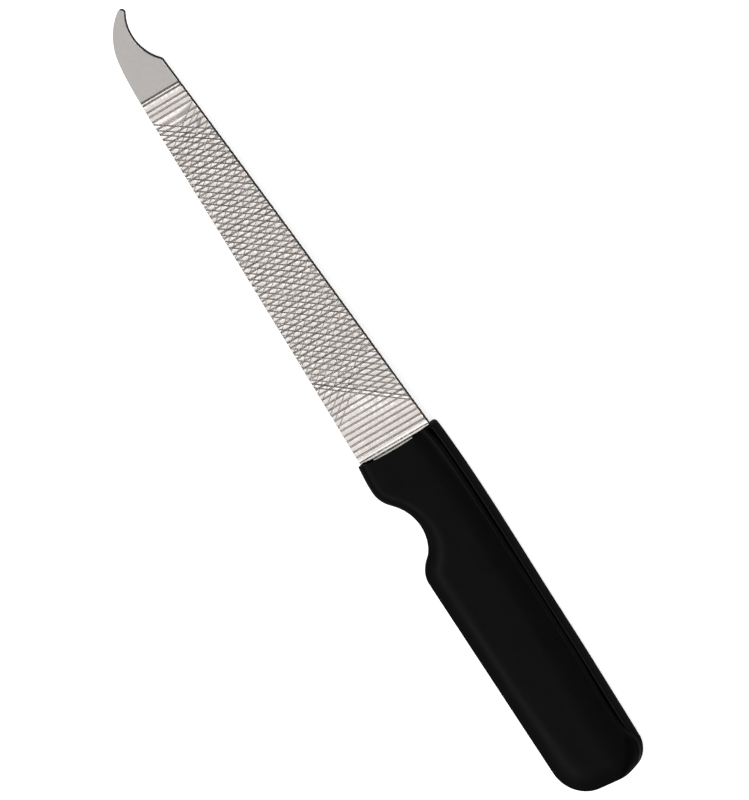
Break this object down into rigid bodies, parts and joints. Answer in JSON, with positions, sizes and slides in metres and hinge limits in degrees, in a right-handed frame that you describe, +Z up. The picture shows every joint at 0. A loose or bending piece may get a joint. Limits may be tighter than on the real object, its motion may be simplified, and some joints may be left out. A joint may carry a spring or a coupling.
{
  "type": "hand file",
  "caption": "Flat tapered steel hand file with cross-cut teeth on both faces, a plain hooked tip and a slim moulded handle with a finger notch.",
  "frame": {"origin": "bottom centre of the bounding box, on the flat back of the handle that the tool lies on", "axes": "+X along the tool towards the hooked tip, +Y towards the side with the finger notch, +Z up, out of the front half of the handle"},
  "size_m": [0.178, 0.0196, 0.0076],
  "materials": {
    "blade_steel": "satin ground steel with cut teeth",
    "handle_plastic": "black moulded plastic, fine matte texture"
  },
  "bodies": {
    "root": {"file_blade": "blade_steel", "handle_front": "handle_plastic", "handle_back": "handle_plastic"}
  },
  "joints": []
}
